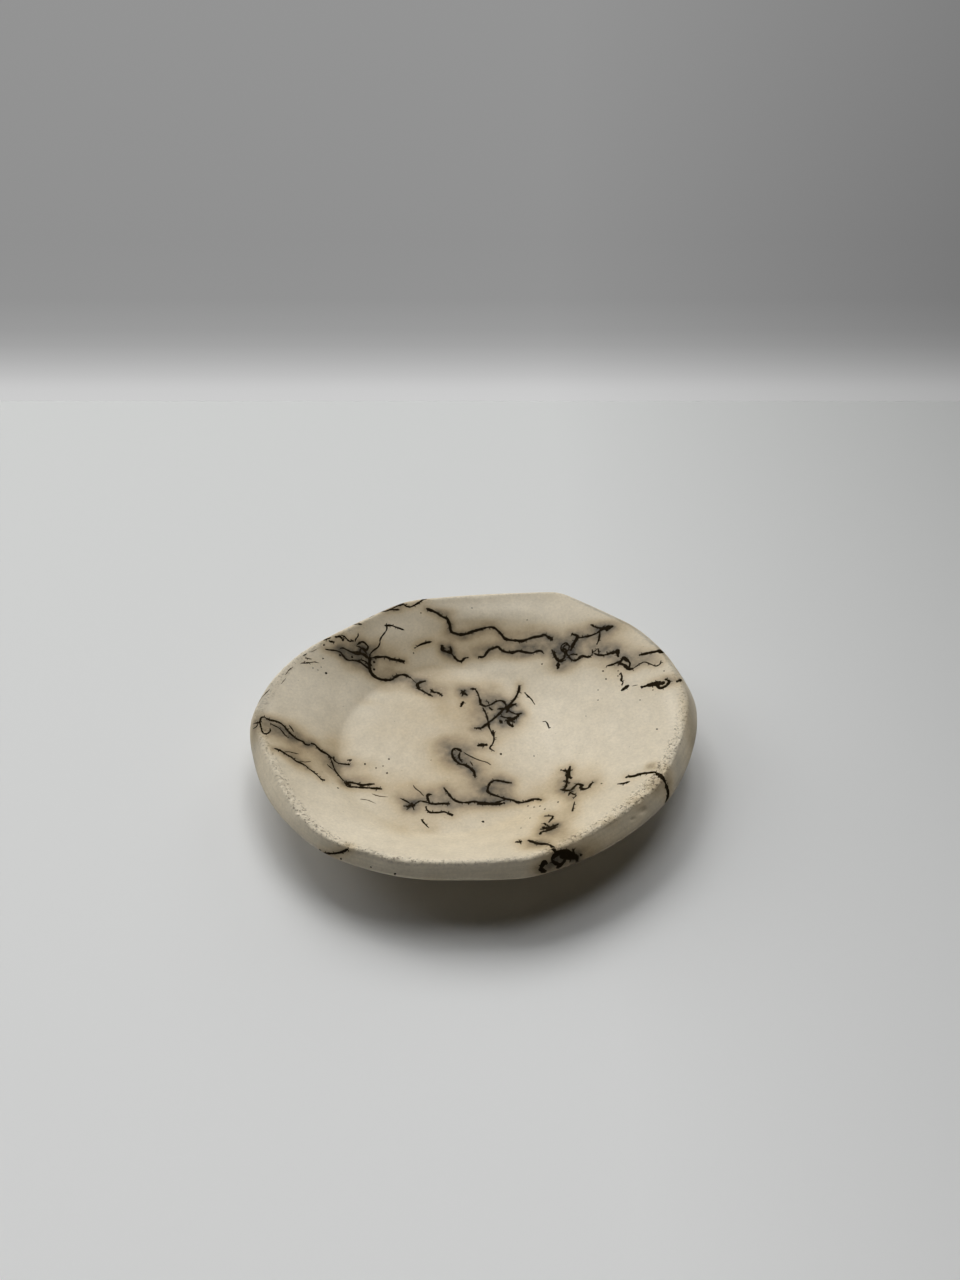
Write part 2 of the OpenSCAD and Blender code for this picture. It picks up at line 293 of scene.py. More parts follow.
    (0.5, 0.9, 0.9, 570, 646, 566, 643, 562, 645, 561, 649, 564, 652, 568, 650, 569, 646, 565, 645,
     563, 649, 565, 654, 564, 658, 560, 660, 556, 657, 554, 651),
    (0.55, 0.9, 0.9, 562, 647, 566, 650, 567, 654, 571, 659, 575, 661, 579, 658),
    (0.45, 0.9, 0.8, 568, 656, 573, 654, 577, 655),
    # A burnt tuft on the cut face.
    (1.2, 1, 0.5, 554, 857, 558, 853, 565, 852, 573, 854), (1.2, 1, 0.5, 562, 856.5, 568, 857, 574, 858),
    (1.3, 1, 0.5, 572, 854, 576.5, 858, 577, 862.5),
    (0.9, 1, 0.4, 553, 856, 552, 860, 555, 863, 560, 864.5),
    (0.9, 1, 0.3, 566, 858, 564, 861.5, 561, 865, 556, 868), (0.6, 1, 0.2, 573, 849.5, 574, 853),
    (0.5, 0.9, 0.2, 580, 856, 582, 854.5), (1.1, 1, 0.4, 540, 869.5, 542, 866, 544, 862.5, 547.5, 864),
    (1.1, 1, 0.3, 540, 870, 545, 871.5),
]

# Specks: the pixel, across and down, and the radius in millimetres.
SPECKS = [
    (326, 673, 0.4), (338, 788, 0.3), (365, 764, 0.38), (376, 768, 0.25), (383, 766, 0.22),
    (389, 759, 0.32), (387, 773, 0.3), (324, 645, 0.35), (323, 658.5, 0.3), (374, 662, 0.45),
    (374, 669.5, 0.45), (413.5, 653, 0.25), (542, 664, 0.28), (501, 754, 0.38), (483, 821.5, 0.4),
    (528, 806, 0.25), (534, 807, 0.25), (540, 806, 0.25), (545, 809, 0.28), (530, 818, 0.22),
    (521, 828, 0.22), (558, 802, 0.3), (601.5, 783.5, 0.28), (603, 671, 0.28), (606, 679, 0.3),
    (618, 671, 0.25), (618, 676, 0.25), (664, 671, 0.22), (598, 690, 0.22), (653, 690, 0.22),
    (657, 729, 0.3), (675, 729, 0.22), (472, 608, 0.22), (421, 613, 0.25), (527, 620, 0.2), (534, 756, 0.2),
    (598, 700, 0.22), (340, 655, 0.35), (371, 665, 0.35), (620, 674, 0.3), (622, 679, 0.32),
    (320, 850, 0.38), (341, 859, 0.32), (395, 874, 0.34), (371, 867, 0.22), (288, 793, 0.22),
    (640, 700, 0.2), (586, 716, 0.18), (431, 760, 0.18), (352, 657, 0.4), (313, 668, 0.2), (318, 670, 0.2),
    (321, 667, 0.18),
]

# Clouds of smoke in the clay, and a few of painted shade in the crease at the left of the well and on the
# cut face at the right:
# the pixel at the middle, the reach across and along the picture in pixels, and how dark it is, as a share.
SMOKE_AND_SHADE_CLOUDS = [
    (364, 651, 6, 6, 0.75), (356, 654, 13, 8, 0.3), (345, 652, 14, 7, 0.22), (350, 645, 20, 10, 0.12),
    (385, 655, 16, 12, 0.28), (380, 672, 14, 7, 0.2), (397, 680, 10, 6, 0.3), (362, 667, 18, 7, 0.28),
    (338, 650, 8, 5, 0.4), (376, 645, 7, 9, 0.22), (430, 672, 22, 8, 0.22), (395, 686, 14, 7, 0.12),
    (372, 664, 8, 8, 0.3), (389, 670, 9, 10, 0.24), (400, 677, 16, 6, 0.26), (421, 685, 16, 8, 0.46),
    (438, 690, 12, 8, 0.3), (425, 643, 10, 6, 0.16), (441, 613, 13, 6, 0.28), (449, 632, 9, 14, 0.22),
    (448, 650, 8, 7, 0.48), (466, 634, 18, 8, 0.24), (500, 646, 36, 8, 0.34), (533, 648, 24, 9, 0.5),
    (548, 638, 22, 9, 0.36), (490, 632, 36, 8, 0.14), (562, 653, 13, 12, 0.6), (570, 646, 9, 8, 0.5),
    (563, 652, 5, 6, 0.4), (560, 666, 9, 7, 0.26), (580, 636, 26, 11, 0.46), (602, 631, 16, 9, 0.46),
    (608, 648, 26, 9, 0.52), (638, 658, 18, 9, 0.36), (485, 650, 18, 6, 0.36), (518, 656, 14, 6, 0.34),
    (531, 650, 16, 8, 0.26), (560, 653, 7, 7, 0.3), (612, 655, 20, 6, 0.22), (633, 664, 9, 5, 0.3),
    (455, 655, 14, 6, 0.22), (562, 668, 22, 7, 0.2), (650, 656, 14, 7, 0.28), (583, 646, 14, 8, 0.2),
    (666, 679, 12, 5, 0.22), (612, 672, 16, 10, 0.1), (510, 716, 12, 10, 0.62), (497, 703, 14, 12, 0.42),
    (476, 706, 10, 12, 0.18), (503, 722, 8, 6, 0.3), (492, 720, 28, 20, 0.3), (455, 687, 9, 9, 0.16),
    (608, 625, 13, 5, 0.34), (535, 628, 22, 6, 0.2), (463, 692, 7, 7, 0.44), (487, 700, 10, 9, 0.3),
    (483, 722, 10, 8, 0.15), (470, 720, 22, 30, 0.08), (456, 752, 10, 11, 0.7), (447, 752, 13, 13, 0.3),
    (474, 771, 9, 9, 0.38), (479, 746, 9, 6, 0.32), (459, 756, 16, 14, 0.3), (476, 768, 20, 9, 0.2),
    (502, 779, 10, 6, 0.28), (490, 792, 16, 9, 0.16), (415, 818, 28, 12, 0.1), (500, 787, 14, 9, 0.46),
    (484, 789, 9, 9, 0.48), (500, 798, 14, 6, 0.38), (446, 790, 14, 8, 0.2), (435, 797, 24, 8, 0.3),
    (412, 806, 10, 7, 0.18), (450, 808, 22, 7, 0.24), (470, 803, 26, 6, 0.3), (431, 828, 8, 6, 0.15),
    (410, 790, 16, 8, 0.1), (562, 783, 11, 12, 0.3), (574, 787, 16, 8, 0.28), (594, 780, 12, 6, 0.14),
    (552, 830, 13, 9, 0.46), (566, 836, 10, 7, 0.15), (573, 797, 9, 9, 0.26), (548, 817, 8, 5, 0.2),
    (536, 840, 12, 5, 0.1), (575, 867, 18, 9, 0.34), (548, 867, 8, 6, 0.3), (535, 845, 12, 4, 0.4),
    (564, 861, 18, 9, 0.22), (558, 859, 6, 5, 0.75), (586, 850, 14, 12, 0.22), (545, 868, 11, 8, 0.4),
    (272, 729, 15, 9, 0.54), (293, 737, 16, 10, 0.56), (312, 747, 13, 8, 0.26), (325, 760, 14, 10, 0.26),
    (335, 768, 10, 10, 0.32), (348, 782, 12, 7, 0.28), (300, 752, 24, 8, 0.16), (288, 755, 12, 5, 0.28),
    (361, 779, 12, 5, 0.24), (495, 803, 16, 5, 0.22), (254, 728, 6, 7, 0.15), (345, 765, 14, 8, 0.18),
    (300, 766, 16, 6, 0.12), (651, 766, 6, 3, 0.42), (657, 787, 9, 8, 0.28), (640, 832, 34, 10, 0.08),
    (520, 634, 36, 5, 0.22), (490, 656, 30, 5, 0.24), (455, 659, 14, 6, 0.2), (625, 655, 20, 7, 0.16),
    (672, 681, 9, 5, 0.32), (655, 663, 16, 4, 0.18), (560, 668, 30, 7, 0.12), (341, 650, 8, 8, 0.2),
    (375, 650, 6, 8, 0.3), (352, 666, 16, 6, 0.18), (371, 675, 12, 6, 0.18), (416, 682, 7, 6, 0.28),
    (570, 812, 10, 9, 0.2), (545, 790, 14, 9, 0.16), (470, 785, 14, 10, 0.2), (592, 790, 14, 7, 0.16),
    (610, 822, 12, 5, 0.14), (668, 782, 6, 10, 0.35), (472, 692, 8, 8, 0.18), (575, 858, 5, 7, 0.4),
    (400, 830, 16, 6, 0.1), (395, 795, 10, 10, 0.14), (440, 745, 16, 10, 0.12), (322, 773, 8, 7, 0.16),
    (297, 762, 9, 5, 0.18), (557, 652, 4, 4, 0.4), (574, 653, 4, 5, 0.4), (602, 632, 4, 4, 0.4),
    (587, 638, 4, 4, 0.3), (617, 665, 5, 4, 0.35), (464, 638, 8, 5, 0.3), (332, 744, 12, 8, 0.16),
    (364, 766, 12, 6, 0.14), (588, 771, 16, 8, 0.1), (384, 688, 10, 5, 0.16), (366, 702, 16, 4, 0.1),
    (392, 608, 14, 4, 0.2), (446, 612, 10, 5, 0.2), (625, 626, 20, 7, 0.14), (612, 652, 14, 8, 0.14),
    (598, 664, 22, 5, 0.14), (490, 687, 12, 7, 0.2), (444, 706, 12, 12, 0.12), (638, 803, 10, 8, 0.14),
    (480, 798, 50, 5, 0.08), (608, 851, 26, 10, 0.12), (691, 733, 7, 26, 0.18), (480, 622, 34, 5, 0.14),
    (662, 683, 12, 5, 0.15),
]

# Warm patches, where the smoke left the clay tan, chalky ones of paler clay that are also painted light on
# the far and left walls and on the cut face, and dull ones that are painted shade on the cut face, in the
# same form.
WARM_PATCHES = [
    (415, 640, 45, 28, 0.55), (350, 628, 30, 14, 0.5), (400, 600, 25, 10, 0.6), (500, 640, 60, 16, 0.6),
    (440, 700, 40, 25, 0.6), (470, 715, 30, 30, 0.6), (450, 760, 30, 22, 0.8), (380, 780, 40, 14, 0.7),
    (300, 755, 30, 14, 0.7), (340, 745, 12, 12, 0.7), (430, 790, 30, 12, 0.6), (500, 790, 40, 12, 0.6),
    (605, 640, 35, 14, 0.5), (516, 714, 24, 16, 0.4), (588, 853, 13, 11, 0.9), (265, 725, 14, 10, 0.5),
    (480, 760, 60, 30, 0.4), (530, 812, 46, 26, 0.6), (545, 842, 30, 12, 0.5), (470, 800, 90, 45, 0.3),
    (300, 740, 22, 14, 0.6), (420, 715, 40, 20, 0.5), (400, 738, 26, 16, 0.4),
]
CHALK_AND_LIGHT_PATCHES = [
    (350, 828, 30, 12, 0.6), (400, 840, 60, 14, 0.2), (520, 850, 60, 10, 0.15), (320, 800, 20, 20, 0.4),
    (641, 811, 4, 2.5, 0.9), (637, 816, 4, 2, 0.7), (600, 740, 60, 50, 0.3), (600, 820, 30, 14, 0.3),
    (490, 606, 60, 14, 1), (500, 668, 50, 7, 0.9), (545, 728, 45, 50, 0.7), (350, 700, 26, 22, 0.8),
    (305, 692, 38, 30, 1), (601, 818, 5, 2, 0.8), (302, 656, 26, 12, 0.8), (345, 629, 24, 6, 0.6),
    (672, 706, 9, 26, 0.7), (300, 812, 26, 12, 0.5), (395, 628, 26, 13, 0.8), (330, 850, 46, 7, 0.6),
    (385, 864, 36, 6, 0.9), (266, 706, 8, 14, 0.8), (450, 866, 90, 5, 0.8), (310, 832, 22, 8, 0.6),
    (684, 702, 5, 16, 0.7),
]
# Dull patches: painted shade on the cut face at its ends and along its lower edge, and duller crumbled clay.
DULL_AND_SHADE_PATCHES = [
    (694, 738, 6, 34, 0.6), (679, 776, 7, 14, 0.6), (655, 812, 14, 9, 0.25), (245, 757, 6, 36, 0.6),
    (657, 788, 9, 8, 0.25), (366, 851, 24, 3.5, 0.25), (515, 859, 40, 3.5, 0.25), (607, 823, 12, 4, 0.2),
]
# Places where the clay is fuller, or dented: the pixel, the reach as above and the height in millimetres.
SWELLS = [
    (497, 615, 62, 16, 0.7), (360, 700, 26, 28, 0.8), (643, 811, 5, 2.5, -0.55), (601, 819, 5, 2, -0.5),
    (633, 819, 3, 1.5, -0.3), (383, 855, 2.5, 1.5, -0.45),
]


# Noise

SEED_OFFSET = Vector((3.7, 1.9, 8.3))
# Each of these goes by a field of noise of its own.
FIELDS = [
    "wave", "facet", "nick", "crumb", "fine crumb", "wobble across", "wobble along", "width", "fine width",
    "ink", "speck", "crumbled",
]


def lumps(place, size, field):
    """Smooth noise from -1 to 1 with lumps of a size, in one of the fields."""
    return noise.noise(place / size + SEED_OFFSET * (1 + FIELDS.index(field)))


# Skin of the body

# Columns of faces round the body, and rows of them along its zones.
AROUND = 480
FLOOR_ROWS = 30
WALL_ROWS = 40
LIP_ROWS = 50
UNDER_ROWS = 24
BASE_ROWS = 5
# The lip has this many columns of faces to each column elsewhere.
LIP_FINENESS = 2
# The edges of the well and of the flat base lie just outside the foot ring.
WELL_RADIUS = foot_radius + 1.0 * MM
BASE_RADIUS = foot_radius + 2.6 * MM
# The lip's rows fan out from a point inside the slab, this far in from its lower edge.
LIP_ROOM = 6.0 * MM
LOWER_EDGE_DROP = 5.3 * MM
# Points closer than this are one point, and those this near to the base's height lie on it.
WELD = 0.001 * MM
ON_BASE = 0.01 * MM
ROUNDINGS = 2
# The clay that crumbles or gathers grime.
RIM_ZONES = ("wall", "lip")


def refined(node):
    """A copy of a CAD node's mesh with its facets rounded off, as a tree for rays."""
    mesh = node.data.copy()
    work = bmesh.new()
    work.from_mesh(mesh)
    bmesh.ops.remove_doubles(work, verts=work.verts, dist=WELD)
    bmesh.ops.join_triangles(
        work, faces=work.faces, angle_face_threshold=math.pi, angle_shape_threshold=math.pi
    )
    # The border of the flat base stays sharp.
    crease = work.edges.layers.float.new("crease_edge")
    for edge in work.edges:
        if all(abs(v.co.z - base_height) < ON_BASE for v in edge.verts):
            edge[crease] = 1
    work.to_mesh(mesh)
    work.free()
    copy = add_object("refined", mesh)
    copy.modifiers.new("rounder", "SUBSURF").levels = ROUNDINGS
    tree = BVHTree.FromObject(copy, bpy.context.evaluated_depsgraph_get())
    bpy.data.objects.remove(copy)
    return tree


def section(tree, turn):
    """The points of one half section of the body: along the top, round the lip and back underneath."""
    out = Vector((math.cos(turn), math.sin(turn), 0))

    def place(reach, height):
        return Vector((well_x, well_y, height)) + out * reach

    def above(reach):
        return tree.ray_cast(place(reach, FAR), -UP)[0]

    def below(reach):
        return tree.ray_cast(place(reach, -FAR), UP)[0]

    edge = tree.ray_cast(place(FAR, rim_height - LOWER_EDGE_DROP), -out)[0]
    inner = math.hypot(edge.x - well_x, edge.y - well_y) - LIP_ROOM
    top = [above(WELL_RADIUS * math.sqrt(k / FLOOR_ROWS)) for k in range(1, FLOOR_ROWS)]
    top += [above(WELL_RADIUS + (inner - WELL_RADIUS) * k / WALL_ROWS) for k in range(WALL_ROWS)]
    under = [below(inner + (BASE_RADIUS - inner) * k / UNDER_ROWS) for k in range(1, UNDER_ROWS)]
    under += [place(BASE_RADIUS * (1 - k / BASE_ROWS), base_height) for k in range(BASE_ROWS)]
    heart = (above(inner) + below(inner)) / 2
    lip = []
    for k in range(LIP_ROWS + 1):
        angle = math.pi * (0.5 - k / LIP_ROWS)
        lip.append(tree.ray_cast(heart, out * math.cos(angle) + UP * math.sin(angle))[0])
    return top, lip, under


def runs(points):
    """Each point's distance along the line of points from its first."""
    run = [0]
    for a, b in zip(points, points[1:]):
        run.append(run[-1] + (b - a).length)
    return run


class Skin:
    """The body's visible surface: rows and columns of faces over the rounded CAD shape, finer at the lip."""

    def __init__(self, tree):
        self.points = [
            tree.ray_cast(Vector((well_x, well_y, FAR)), -UP)[0], Vector((well_x, well_y, base_height))
        ]
        # For each point: its zone, and its distance from the lip's crest, positive outside it.
        self.zones = ["floor", "base"]
        self.away = [-FAR, FAR]
        self.faces = []
        columns = []
        for k in range(AROUND * LIP_FINENESS):
            top, lip, under = section(tree, 2 * math.pi * k / (AROUND * LIP_FINENESS))
            if k % LIP_FINENESS:
                top, under = [], []
            columns.append(self.add_column(top, lip, under))
        for k in range(0, len(columns), LIP_FINENESS):
            self.add_faces([columns[(k + i) % len(columns)] for i in range(LIP_FINENESS + 1)])
        self.piece = add_mesh("dish_skin", self.points, self.faces)

    def add_column(self, top, lip, under):
        """Adds a column's points and gives their indices, split like the column."""
        line = top + lip + under
        run = runs(line)
        crest = max(range(len(lip)), key=lambda k: lip[k].z) + len(top)
        first = len(self.points)
        self.points += line
        self.away += [r - run[crest] for r in run]
        floor = min(len(top), FLOOR_ROWS - 1)
        base = min(len(under), BASE_ROWS)
        self.zones += ["floor"] * floor + ["wall"] * (len(top) - floor) + ["lip"] * len(lip)
        self.zones += ["under"] * (len(under) - base) + ["base"] * base
        split = first + len(top)
        end = split + len(lip)
        return range(first, split), range(split, end), range(end, end + len(under))

    def add_faces(self, group):
        """Adds the faces between two whole columns and the lip's own columns that lie between them."""
        (top, _, under), (far_top, _, far_under) = group[0], group[-1]
        self.faces.append((0, top[0], far_top[0]))
        self.faces.append((1, far_under[-1], under[-1]))
        self.add_strip(top, far_top)
        self.add_strip(under, far_under)
        lips = [column[1] for column in group]
        for near, far in zip(lips, lips[1:]):
            self.add_strip(near, far)
        self.faces.append((top[-1], *[line[0] for line in lips], far_top[-1]))
        self.faces.append((under[0], far_under[0], *[line[-1] for line in reversed(lips)]))

    def add_strip(self, near, far):
        for a, b, c, d in zip(near, near[1:], far[1:], far):
            self.faces.append((a, b, c, d))


# Relief of the clay

# Where the clay crumbled along the upper edge: the compass angle about the origin, the strip's reach in from
# the crest in millimetres, and how rough it is, as a share.
CRUMBLED = [
    (0, 2.4, 0.7), (18, 1.2, 0.4), (40, 0.6, 0.2), (125, 0.6, 0.2), (150, 1.6, 0.4), (180, 2.4, 0.5),
    (200, 2.8, 0.6), (222, 2.6, 0.9), (245, 1.8, 0.9), (262, 1, 0.6), (285, 1, 0.6), (300, 2, 0.9),
    (318, 4, 1), (335, 4.2, 1), (350, 2.6, 0.8), (360, 2.4, 0.7),
]
# The strip's reach over the crest, on to the cut face, the softness of its borders, and how far its reach
# wanders, as a share, in waves of a size.
CRUMBLED_OUT = 0.9 * MM
CRUMBLED_SOFT = 1.2 * MM
CRUMBLED_WANDER = 0.35
CRUMBLED_WANDER_SIZE = 5 * MM
# The hand's slow waves, the burnisher's shallow ones, and the crumbs and nicks of the upper edge.
WAVE = 0.16 * MM
WAVE_SIZE = 26 * MM
FACET = 0.035 * MM
FACET_SIZE = 7 * MM
CRUMB = 0.42 * MM
CRUMB_SIZE = 1.3 * MM
FINE_CRUMB_SHARE = 0.5
NICK = 0.60 * MM
NICK_SIZE = 3.2 * MM
NICK_REACH = 1.2 * MM
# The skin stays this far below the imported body's top, so that the marks on it do too.
TOP_ROOM = 0.05 * MM
# The relief fades over this height above the flat base, and stray hairs end there.
BASE_ROOM = 1.5 * MM

# A grey darkening along the crest, by compass angle, as a share, and its reach.
CREST_DARKENING = [
    (0, 0.3), (20, 0.9), (52, 0.9), (62, 0), (150, 0), (170, 0.4), (185, 0.4), (200, 0), (340, 0),
    (360, 0.3),
]
CREST_DARKENING_REACH = 0.55 * MM
# The cut face begins this far outside the crest and ends this far, with soft borders.
CUT_FROM = 0.8 * MM
CUT_TO = 7.0 * MM
CUT_SOFT = 0.5 * MM
# The cut face has painted shade along its lower edge, where it turns under, by this share and with this
# reach, and the underside begins this far out.
LOWER_EDGE_SHADE = 0.18
LOWER_REACH = 1.4 * MM
UNDER_FROM = 10.5 * MM
UNDER_SOFT = 3.0 * MM


def by_compass(place, table):
    """The values that a table gives, degree by degree, for a place's compass angle about the origin."""
    degrees, *columns = zip(*table)
    angle = math.degrees(math.atan2(place.y, place.x)) % 360
    return [float(np.interp(angle, degrees, column)) for column in columns]


def past(distance, softness):
    """Goes from 0 to 1 over a softness where a border is passed."""
    return max(0, min(1, 0.5 + distance / softness))


def bell(distance, reach):
    return math.exp(-(distance / reach) ** 2)


def crumbled(place, away):
    """How rough the clay is at a place that lies so far from the crest, as a share."""
    reach, rough = by_compass(place, CRUMBLED)
    reach *= MM * (1 + CRUMBLED_WANDER * lumps(place, CRUMBLED_WANDER_SIZE, "crumbled"))
    return rough * past(min(away + reach, CRUMBLED_OUT - away), CRUMBLED_SOFT)


def crumbs(place, away):
    """How deep the crumbs and nicks are where the clay is rough."""
    fine = max(0, lumps(place, CRUMB_SIZE / 2, "fine crumb"))
    deep = CRUMB * (max(0, lumps(place, CRUMB_SIZE, "crumb")) + FINE_CRUMB_SHARE * fine)
    return deep + NICK * max(0, lumps(place, NICK_SIZE, "nick")) * bell(away, NICK_REACH)


def model_relief(skin, tree):
    mesh = skin.piece.data
    normals = [v.normal.copy() for v in mesh.vertices]
    co = np.array([v.co for v in mesh.vertices])
    fuller = sum(height * MM * cloud(co, tree, *spot) for *spot, height in SWELLS)
    rough_shares = []
    for v, zone, away in zip(mesh.vertices, skin.zones, skin.away):
        place = v.co.copy()
        rough = crumbled(place, away) if zone in RIM_ZONES else 0
        rough_shares.append(rough)
        if zone == "base":
            continue
        shift = WAVE * lumps(place, WAVE_SIZE, "wave") + FACET * lumps(place, FACET_SIZE, "facet")
        if rough > 0:
            shift -= crumbs(place, away) * rough
        if zone == "under":
            shift *= min(1, (place.z - base_height) / BASE_ROOM)
        else:
            shift += fuller[v.index]
        v.co += normals[v.index] * shift
        v.co.z = min(v.co.z, rim_height - TOP_ROOM)
    mesh.update()
    add_values(skin.piece, "rough", rough_shares)


def rim_looks(place, away):
    """How much darkening lies at a place by the rim, along the crest and as painted shade along the cut
    face's lower edge, and how much it belongs to the cut face, as shares.
    """
    darkening_and_shade = by_compass(place, CREST_DARKENING)[0] * bell(away, CREST_DARKENING_REACH)
    darkening_and_shade += LOWER_EDGE_SHADE * bell(away - CUT_TO, LOWER_REACH)
    return darkening_and_shade, past(min(away - CUT_FROM, CUT_TO - away), CUT_SOFT)


def shade_rim(skin):
    """Gives each point of the skin the darkening along the crest and the painted shade along the lower edge,
    the cut face, and the underside, which is partly painted shade, as shares.
    """
    looks = [
        rim_looks(v.co, away) if zone in RIM_ZONES else (0, 0)
        for v, zone, away in zip(skin.piece.data.vertices, skin.zones, skin.away)
    ]
    add_values(skin.piece, "darkening_and_shade", [darkening_and_shade for darkening_and_shade, _ in looks])
    add_values(skin.piece, "face", [face for _, face in looks])
    add_values(skin.piece, "under", [past(away - UNDER_FROM, UNDER_SOFT) for away in skin.away])


# Draping

# A hair or a cloud that misses the clay moves towards the dish's middle in the photograph, step by step.
MIDDLE_PIXEL = (475, 735)
DRAPE_STEP = 0.004
DRAPE_STEPS = 60
# The usual gap between a hair's points, and how far its small kinks swing, in pixels.
PATH_GAP = 0.7
WOBBLE = 0.22
WOBBLE_SIZE = 3.2


def drape(tree, px, py):
    """Where the camera sees the clay at a pixel, and the clay's normal there."""
    for step in range(DRAPE_STEPS):
        share = step * DRAPE_STEP
        x = px + (MIDDLE_PIXEL[0] - px) * share
        y = py + (MIDDLE_PIXEL[1] - py) * share
        place, normal, _, _ = tree.ray_cast(CAMERA_AT, sight(x, y))
        if place is not None:
            return place, normal
    raise ValueError(f"the pixel {px}, {py} is off the clay")


def through(points, gap):
    """Points about gap apart on a smooth curve through the given ones."""
    path = [Vector((x, y, 0)) for x, y in points]
    path = [path[0] * 2 - path[1]] + path + [path[-1] * 2 - path[-2]]
    smooth = []
    for a, b, c, d in zip(path, path[1:], path[2:], path[3:]):
        count = max(1, round((c - b).length / gap))
        for k in range(count):
            t = k / count
            smooth.append(
                0.5 * (2 * b + (c - a) * t + (2 * a - 5 * b + 4 * c - d) * t * t
                       + (3 * b - a - 3 * c + d) * t * t * t)
            )
    smooth.append(path[-2])
    return smooth


def hair_path(tree, pixels):
    """A hair's places and normals on the clay, with the small kinks that a burning hair has."""
    path = []
    for p in through(zip(pixels[::2], pixels[1::2]), PATH_GAP):
        across = lumps(p, WOBBLE_SIZE, "wobble across")
        along = lumps(p, WOBBLE_SIZE, "wobble along")
        path.append(drape(tree, p.x + across * WOBBLE, p.y + along * WOBBLE))
    return path


# Hair marks

# Points across a charred line: how far out, as a share of half its width, how far above the clay, and how
# much of the line's black lies there, as a share.
ACROSS = [
    (-1, -0.03 * MM, 0), (-0.75, 0.02 * MM, 0.85), (0, 0.035 * MM, 1), (0.75, 0.02 * MM, 0.85),
    (1, -0.03 * MM, 0),
]
# The lines and specks are wider than the tables say by these.
WIDTH_SCALE = 1.42
SPECK_SCALE = 1.35
# A line tapers over its ends, or over a share of a short line, to a share of its width.
TAPER = 1.2 * MM
TAPER_SHARE = 0.35
TAPER_POWER = 0.7
TIP_WIDTH = 0.35
NO_LENGTH = 1e-9
# Its width and its black vary along it by shares, in waves of a size.
WIDTH_WAVE = 0.5
WIDTH_WAVE_SIZE = 2.0 * MM
FINE_WAVE = 0.35
FINE_WAVE_SIZE = 0.7 * MM
LEAST_WIDTH = 0.45
INK_WAVE = 0.2
INK_WAVE_SIZE = 3.5 * MM
# A speck's outline varies as well.
SPECK_SIDES = 9
SPECK_WAVE = 0.5
SPECK_WAVE_SIZE = 1.7 * MM
# A line this black ends in knots, this share of the times, which are this many times as wide.
KNOT_INK = 0.85
KNOT_SHARE = 0.6
KNOT_WIDTH = 1.25
KNOT_SPREAD = (0.8, 1.2)
# Barbs stand off a black line: the usual run between them, their lengths and width in millimetres, how far
# they lean along the line, and how black they are.
BARB_GAP = 2.2 * MM
BARB_SPREAD = (0.3, 1.7)
BARB_LENGTHS = (0.25, 0.75)
BARB_WIDTH = 0.32
BARB_LEAN = 0.8
BARB_INK = 0.8


